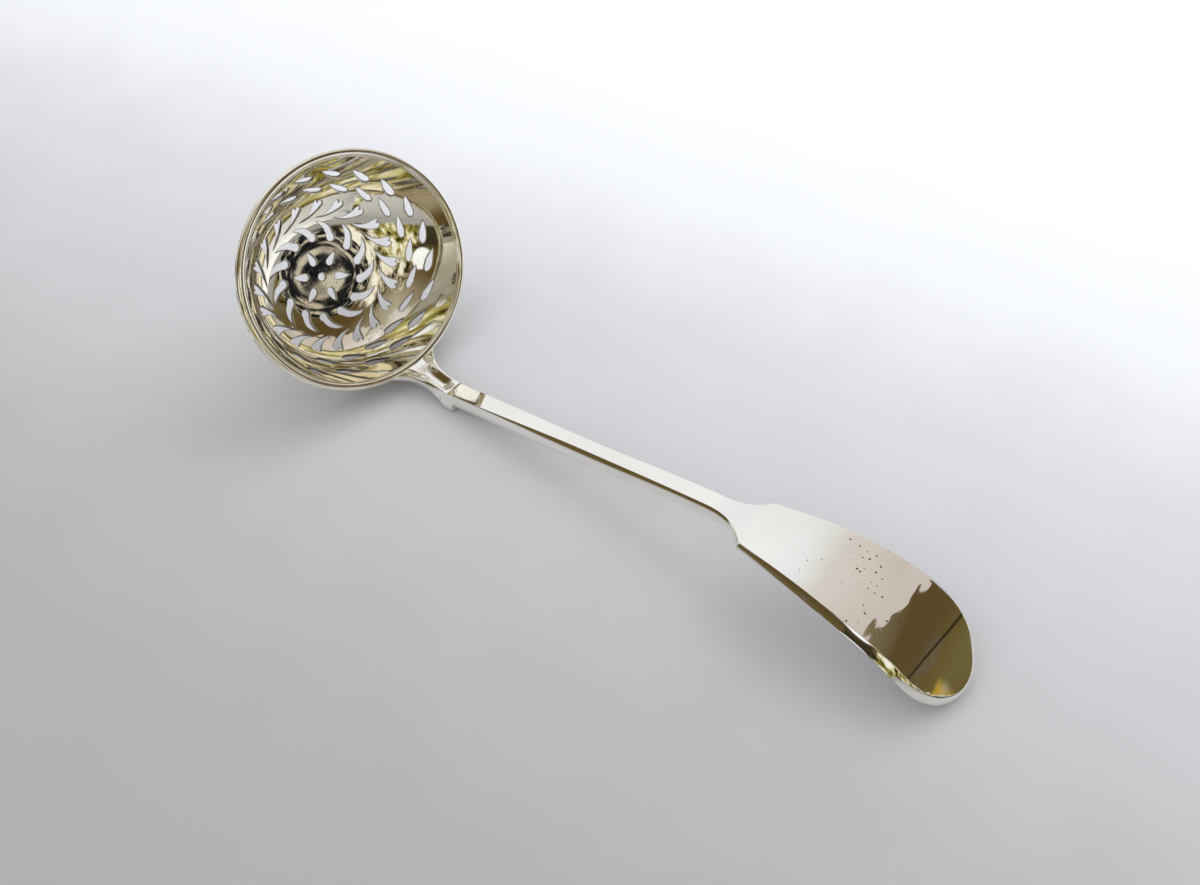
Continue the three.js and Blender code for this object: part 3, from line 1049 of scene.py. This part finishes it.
# Painted light on the paper: how fast its tone pales towards the back and darkens to the right, its
# middle value, and its tones from front to back.
PAPER_LIGHT_TO_BACK = 2.3
PAPER_LIGHT_TO_RIGHT = -0.36
PAPER_LIGHT_MIDDLE = 0.4
PAPER_MOTTLE = 0.05
PAPER_PAINTED_LIGHT_TONES = (
    (0.16, (0.350, 0.350, 0.352, 1)),
    (0.26, (0.375, 0.375, 0.377, 1)),
    (0.33, (0.420, 0.420, 0.428, 1)),
    (0.43, (0.515, 0.517, 0.535, 1)),
    (0.54, (0.615, 0.622, 0.655, 1)),
    (0.63, (0.755, 0.770, 0.805, 1)),
    (0.82, (0.87, 0.88, 0.91, 1)),
)
BROWN_WALLS = (
    (0.0, (0.150, 0.125, 0.042, 1)),
    (0.10, (0.160, 0.134, 0.046, 1)),
    (0.25, (0.135, 0.098, 0.032, 1)),
    (0.42, (0.105, 0.072, 0.026, 1)),
    (0.70, (0.105, 0.070, 0.025, 1)),
    (0.84, (0.190, 0.150, 0.085, 1)),
    (1.0, (0.420, 0.380, 0.290, 1)),
)
SHELF_COLOR = (0.16, 0.14, 0.12, 1)
CUPBOARD_EDGES = (-72, 26, 0.05, 0.04)
CUPBOARD_WARES = (
    (0.41, (0.022, 0.019, 0.010, 1)),
    (0.465, (0.17, 0.140, 0.070, 1)),
    (0.515, (0.56, 0.510, 0.390, 1)),
    (0.59, (0.92, 0.885, 0.790, 1)),
)
BEAM_COLOR = (0.012, 0.010, 0.006, 1)
BEAM_DARKNESS = 0.8
BOARD_EDGES = (20, 33, 0.03, 0.02)
BOARD_THINGS = (
    (0.140, (0.020, 0.020, 0.016, 1)),
    (0.158, (0.020, 0.020, 0.016, 1)),
    (0.168, (0.640, 0.600, 0.520, 1)),
    (0.188, (0.560, 0.500, 0.380, 1)),
    (0.198, (0.480, 0.310, 0.045, 1)),
    (0.208, (0.420, 0.280, 0.050, 1)),
    (0.216, (0.135, 0.100, 0.033, 1)),
)
DOOR_EDGES = (-76, -16, 0.03, 0.03)
DOOR_GARDEN = (
    (0.32, (0.010, 0.010, 0.008, 1)),
    (0.43, (0.060, 0.050, 0.012, 1)),
    (0.50, (0.340, 0.290, 0.070, 1)),
    (0.57, (0.780, 0.760, 0.520, 1)),
    (0.64, (0.900, 0.900, 0.860, 1)),
)
HEDGE_EDGES = (-97, -76, 0.03, 0.03)
HEDGE_COLOR = (0.018, 0.018, 0.012, 1)
HEDGE_DARKNESS = 0.8
PALE_WALL_EDGES = (120, 210, 0.1, 0.1)
PALE_WALL_COLOR = (0.66, 0.65, 0.62, 1)
SILL_EDGES = (66, 160, 0.05, 0.1)
SILL_COLOR = (0.50, 0.475, 0.43, 1)
HORIZON_COLOR = (0.36, 0.358, 0.35, 1)
WINDOW_SIDES = (62.5, 178)
WINDOW_PANES = (
    (0.0, (0.60, 0.535, 0.50, 1)),
    (0.17, (0.62, 0.56, 0.52, 1)),
    (0.34, (0.66, 0.62, 0.58, 1)),
    (0.51, (0.71, 0.69, 0.67, 1)),
    (0.62, (0.77, 0.77, 0.77, 1)),
    (0.74, (0.83, 0.84, 0.87, 1)),
    (0.88, (0.92, 0.93, 0.95, 1)),
    (0.95, (0.88, 0.89, 0.91, 1)),
)
GLINT_COLOR = (1.0, 1.04, 1.1, 1)
ROOM_GLOW = (0.74, 0.745, 0.755, 1)
CARD_RADIUS = 0.056
CARD_DISTANCE = 0.2
CARD_EDGE = (0.060, 0.063)
CARD_THINGS = (
    (0.50, (0.008, 0.009, 0.012, 1)),
    (0.53, (0.030, 0.027, 0.023, 1)),
    (0.555, (0.28, 0.255, 0.21, 1)),
    (0.61, (0.58, 0.53, 0.44, 1)),
)
BOWL_MIDDLE = Vector((-0.069, 0.0, 0.0155))
END_MIDDLE = Vector((0.064, 0.004, 0.011))


def color_ramp(tree, value, stops):
    node = add_node(tree, "ShaderNodeValToRGB")
    tree.links.new(value, node.inputs[0])
    ramp = node.color_ramp
    ramp.elements[0].position = stops[0][0]
    ramp.elements[0].color = stops[0][1]
    ramp.elements[1].position = stops[-1][0]
    ramp.elements[1].color = stops[-1][1]
    for position, color in stops[1:-1]:
        ramp.elements.new(position).color = color
    return node.outputs["Color"]


def make_paper():
    bpy.ops.object.select_all(action="DESELECT")
    bpy.ops.mesh.primitive_plane_add(size=PAPER_SIZE, location=(0, 0, 0))
    paper = bpy.context.object
    paper.name = "paper"
    material = bpy.data.materials.new("paper")
    material.use_nodes = True
    tree = material.node_tree
    shader = tree.nodes["Principled BSDF"]
    place = add_node(tree, "ShaderNodeTexCoord").outputs["Object"]
    mottle = multiply(tree, noise_node(tree, place, 45, 3), PAPER_MOTTLE)
    split = add_node(tree, "ShaderNodeSeparateXYZ")
    tree.links.new(place, split.inputs[0])
    # Painted light: the paper's colour grows paler towards the back and darker towards the front and
    # right, with a faint random mottle.
    back = multiply(tree, split.outputs["Y"], PAPER_LIGHT_TO_BACK)
    right = multiply(tree, split.outputs["X"], PAPER_LIGHT_TO_RIGHT)
    pale = math_node(tree, "ADD", math_node(tree, "ADD", back, right), mottle)
    pale = math_node(tree, "ADD", pale, PAPER_LIGHT_MIDDLE, clamp=True)
    tree.links.new(color_ramp(tree, pale, PAPER_PAINTED_LIGHT_TONES), shader.inputs["Base Color"])
    shader.inputs["Roughness"].default_value = 0.8
    paper.data.materials.append(material)


def way_at(azimuth, elevation):
    """A direction of the room, from degrees round the spoon and degrees above the table."""
    turn = math.radians(azimuth)
    rise = math.radians(elevation)
    return Vector((math.cos(turn) * math.cos(rise), math.sin(turn) * math.cos(rise), math.sin(rise)))


def facing_amount(tree, way, toward):
    node = add_node(tree, "ShaderNodeVectorMath", operation="DOT_PRODUCT")
    tree.links.new(way, node.inputs[0])
    node.inputs[1].default_value = toward
    return node.outputs["Value"]


def past_edge(tree, way, azimuth, ragged, soft):
    """The part of the room counter-clockwise of an upright edge, with a ragged border."""
    side = facing_amount(tree, way, way_at(azimuth + 90, 0))
    return map_value(tree, math_node(tree, "ADD", side, ragged), -soft, soft)


def sector(tree, way, ragged, first, last, first_soft, last_soft):
    """The part of the room between two upright edges."""
    start = past_edge(tree, way, first, ragged, first_soft)
    end = past_edge(tree, way, last - 180, ragged, last_soft)
    return multiply(tree, start, end)


def wavering(tree, way, scale, detail, amount):
    """An uneven value that sways about nothing, for ragged borders."""
    sway = math_node(tree, "SUBTRACT", noise_node(tree, way, scale, detail), 0.5)
    return multiply(tree, sway, amount)


def beam_mask(tree, way):
    """A short dark bar that slants down to the right of the window."""
    across = way_at(32, 25).cross(way_at(42, 17)).normalized()
    side = math_node(tree, "ABSOLUTE", facing_amount(tree, way, across))
    near = map_value(tree, facing_amount(tree, way, way_at(41, 18)), 0.96, 0.99)
    return multiply(tree, map_value(tree, side, 0.017, 0.009), near, BEAM_DARKNESS)


def shelf_mask(tree, way, rise):
    """Faint clutter low on the walls."""
    clutter = noise_node(tree, stretch_vector(tree, way, (1, 1, 0.45)), 6.5, 3, 0.6)
    shelves = map_value(tree, clutter, 0.5, 0.66, 0.0, 0.55)
    return multiply(tree, shelves, map_value(tree, rise, 0.5, 0.28))


def window_mask(tree, way, fray, ragged_rise):
    """The bright window, torn along its near side."""
    torn = wavering(tree, way, 11, 1, 0.36)
    return multiply(
        tree,
        past_edge(tree, way, WINDOW_SIDES[0], torn, 0.006),
        past_edge(tree, way, WINDOW_SIDES[1] - 180, fray, 0.02),
        map_value(tree, ragged_rise, 0.3, 0.34),
        map_value(tree, ragged_rise, 0.95, 0.9),
    )


def make_room():
    """The world: brown walls, and in front of them the things that the silver mirrors."""
    world = bpy.data.worlds.new("room")
    bpy.context.scene.world = world
    world.use_nodes = True
    tree = world.node_tree
    shade = tree.nodes["Background"]
    way = add_node(tree, "ShaderNodeTexCoord").outputs["Generated"]
    split = add_node(tree, "ShaderNodeSeparateXYZ")
    tree.links.new(way, split.inputs[0])
    rise = split.outputs["Z"]
    azimuth = math_node(tree, "ARCTAN2", split.outputs["Y"], split.outputs["X"])
    along_window = map_value(tree, azimuth, math.radians(60), math.radians(150))
    fray = wavering(tree, way, 8, 4, 0.34)
    ragged_rise = math_node(tree, "ADD", rise, fray)
    uneven = multiply(tree, fray, 0.12)
    board_rise = math_node(tree, "ADD", rise, uneven)

    def thing(ragged, edges, height, low, high):
        """A thing between two edges, and between two heights that its border fades over."""
        return multiply(tree, sector(tree, way, ragged, *edges), map_value(tree, height, low, high))

    wares = color_ramp(tree, noise_node(tree, way, 5.2, 4, 0.55), CUPBOARD_WARES)
    board_things = color_ramp(tree, board_rise, BOARD_THINGS)
    garden = color_ramp(tree, noise_node(tree, way, 4.6, 4, 0.62), DOOR_GARDEN)
    hedge = thing(fray, HEDGE_EDGES, ragged_rise, 0.5, 0.4)
    glint = map_value(tree, facing_amount(tree, way, way_at(-86, 38)), 0.979, 0.986)
    layers = (
        (shelf_mask(tree, way, rise), SHELF_COLOR),
        (thing(fray, CUPBOARD_EDGES, ragged_rise, 0.95, 0.85), wares),
        (beam_mask(tree, way), BEAM_COLOR),
        (thing(uneven, BOARD_EDGES, board_rise, 0.225, 0.215), board_things),
        (thing(fray, DOOR_EDGES, ragged_rise, 0.74, 0.66), garden),
        (multiply(tree, hedge, HEDGE_DARKNESS), HEDGE_COLOR),
        (thing(fray, PALE_WALL_EDGES, rise, 0.04, 0.1), PALE_WALL_COLOR),
        (thing(fray, SILL_EDGES, rise, 0.5, 0.4), SILL_COLOR),
        (map_value(tree, rise, 0.13, 0.07), HORIZON_COLOR),
        (window_mask(tree, way, fray, ragged_rise), color_ramp(tree, along_window, WINDOW_PANES)),
        (glint, GLINT_COLOR),
        (add_node(tree, "ShaderNodeLightPath").outputs["Is Diffuse Ray"], ROOM_GLOW),
    )
    sky = color_ramp(tree, rise, BROWN_WALLS)
    for mask, color in layers:
        sky = mix_colors(tree, mask, sky, color)
    tree.links.new(sky, shade.inputs["Color"])
    shade.inputs["Strength"].default_value = 1.0


def make_dark_card():
    """A dark thing of the room, near enough that only the middle of the bowl mirrors it."""
    bpy.ops.object.select_all(action="DESELECT")
    bpy.ops.mesh.primitive_circle_add(vertices=48, radius=CARD_RADIUS, fill_type="NGON")
    card = bpy.context.object
    card.name = "dark_card"
    heading = way_at(30, 20)
    card.location = BOWL_MIDDLE + heading * CARD_DISTANCE
    to_end = (END_MIDDLE - card.location).normalized()
    to_bowl = -heading
    facing = to_bowl - to_end * to_bowl.dot(to_end) * 1.04
    card.rotation_euler = facing.to_track_quat("Z", "Y").to_euler()
    material = bpy.data.materials.new("dark_card")
    material.use_nodes = True
    tree = material.node_tree
    tree.nodes.clear()
    place = add_node(tree, "ShaderNodeTexCoord").outputs["Object"]
    things = noise_node(tree, place, 95, 2, 0.5)
    glow = add_node(tree, "ShaderNodeEmission")
    tree.links.new(color_ramp(tree, things, CARD_THINGS), glow.inputs["Color"])
    output = add_node(tree, "ShaderNodeOutputMaterial")
    away = add_node(tree, "ShaderNodeVectorMath", operation="LENGTH")
    tree.links.new(place, away.inputs[0])
    torn = multiply(tree, noise_node(tree, place, 80, 3), 0.016)
    edge = map_value(tree, math_node(tree, "ADD", away.outputs["Value"], torn), *CARD_EDGE)
    behind = add_node(tree, "ShaderNodeNewGeometry").outputs["Backfacing"]
    edge = math_node(tree, "MAXIMUM", edge, behind)
    clear = add_node(tree, "ShaderNodeBsdfTransparent")
    both = add_node(tree, "ShaderNodeMixShader")
    tree.links.new(edge, both.inputs[0])
    tree.links.new(glow.outputs[0], both.inputs[1])
    tree.links.new(clear.outputs[0], both.inputs[2])
    tree.links.new(both.outputs[0], output.inputs["Surface"])
    card.data.materials.append(material)
    card.visible_camera = False
    card.visible_shadow = False
    card.visible_diffuse = False


def add_lamp(name, place, size, power):
    """A white square lamp turned to the middle of the spoon, which the silver doesn't mirror."""
    lamp = bpy.data.lights.new(name, "AREA")
    lamp.shape = "RECTANGLE"
    lamp.size = size
    lamp.size_y = size
    lamp.energy = power
    holder = bpy.data.objects.new(name, lamp)
    bpy.context.collection.objects.link(holder)
    holder.location = place
    holder.rotation_euler = (-Vector(place)).to_track_quat("-Z", "Y").to_euler()
    holder.visible_glossy = False


make_paper()
make_room()
make_dark_card()
add_lamp("window_light", (0.10, 0.62, 0.62), 0.9, 3.0)
add_lamp("ceiling_light", (0.0, 0.1, 1.2), 2.2, 4.6)
add_lamp("fill_light", (-0.45, -0.65, 0.55), 1.0, 2.8)

# The camera of the photograph
lens = bpy.data.cameras.new("camera")
lens.sensor_width = 36
lens.lens = 39
lens.clip_start = 0.005
camera = bpy.data.objects.new("camera", lens)
bpy.context.collection.objects.link(camera)
camera.location = (0.10481, -0.12650, 0.18119)
camera.rotation_euler = [math.radians(degrees) for degrees in (43.88, 0.735, 38.338)]
bpy.context.scene.camera = camera
bpy.context.scene.view_settings.view_transform = "Standard"
